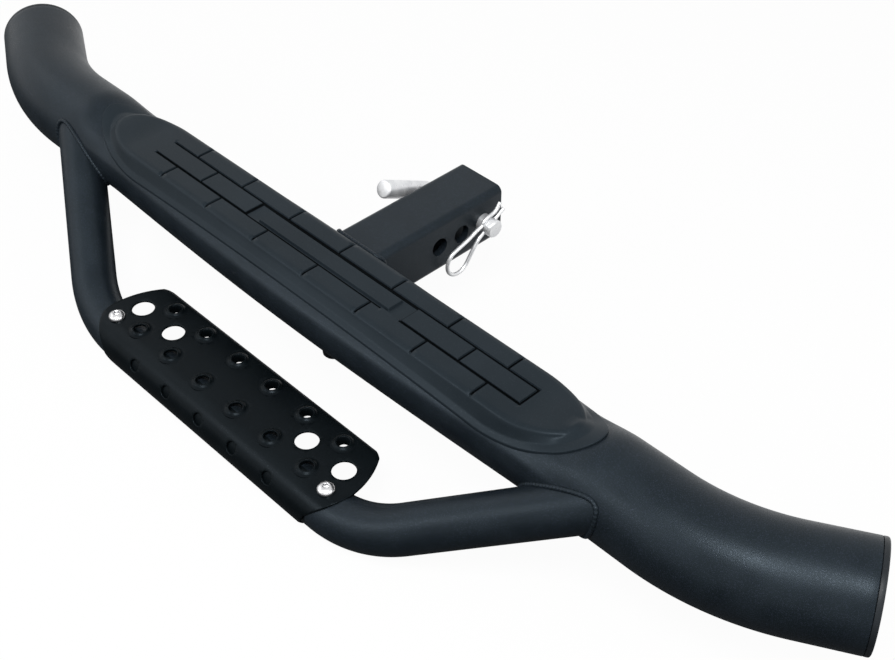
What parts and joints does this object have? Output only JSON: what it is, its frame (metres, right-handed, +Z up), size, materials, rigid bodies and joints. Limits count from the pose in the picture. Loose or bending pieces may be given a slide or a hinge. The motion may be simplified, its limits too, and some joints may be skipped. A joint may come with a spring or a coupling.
{
  "type": "hitch receiver step",
  "caption": "Wide round step bar with a moulded pad, a square shank for a tow receiver and a lower hoop step with a perforated tread plate, with hitch pin and clip.",
  "frame": {"origin": "centre of the shank's first pin hole, the one nearest the step bar, on the shank's centre line", "axes": "+X along the step bar and the pin holes, +Y along the shank towards the vehicle, +Z up"},
  "size_m": [1.0022, 0.313, 0.1355],
  "materials": {
    "powder_coat": "textured black powder coat with fine sparkle",
    "pad_plastic": "satin black moulding",
    "cap_plastic": "fine grained black",
    "clip_plastic": "natural nylon",
    "knob_plastic": "satin black",
    "stainless": "plain stainless",
    "zinc_steel": "bright zinc plate"
  },
  "bodies": {
    "step": {"main_tube": "powder_coat", "end_cap_left": "cap_plastic", "end_cap_right": "cap_plastic", "step_pad": "pad_plastic", "pad_clips": "clip_plastic", "shank": "powder_coat", "shank_weld": "powder_coat", "hoop_tube": "powder_coat", "hoop_weld_left": "powder_coat", "hoop_weld_right": "powder_coat", "tread_plate": "powder_coat", "tread_screws": "stainless", "tread_inserts": "zinc_steel", "knob_weld_nut": "powder_coat"},
    "pin": {"hitch_pin": "zinc_steel", "pin_clip": "zinc_steel"},
    "knob": {"knob_grip": "knob_plastic", "knob_insert": "zinc_steel", "knob_washer": "stainless", "knob_stud": "zinc_steel"}
  },
  "joints": [
    {"name": "hitch_pin_turn", "type": "hinge", "parent": "step", "child": "pin", "pos_m": [0, 0.0508, 0], "axis": [1, 0, 0], "continuous": true},
    {"name": "knob_turn", "type": "hinge", "parent": "step", "child": "knob", "pos_m": [0, -0.0756, -0.0602], "axis": [0, 0, 1], "continuous": true}
  ]
}
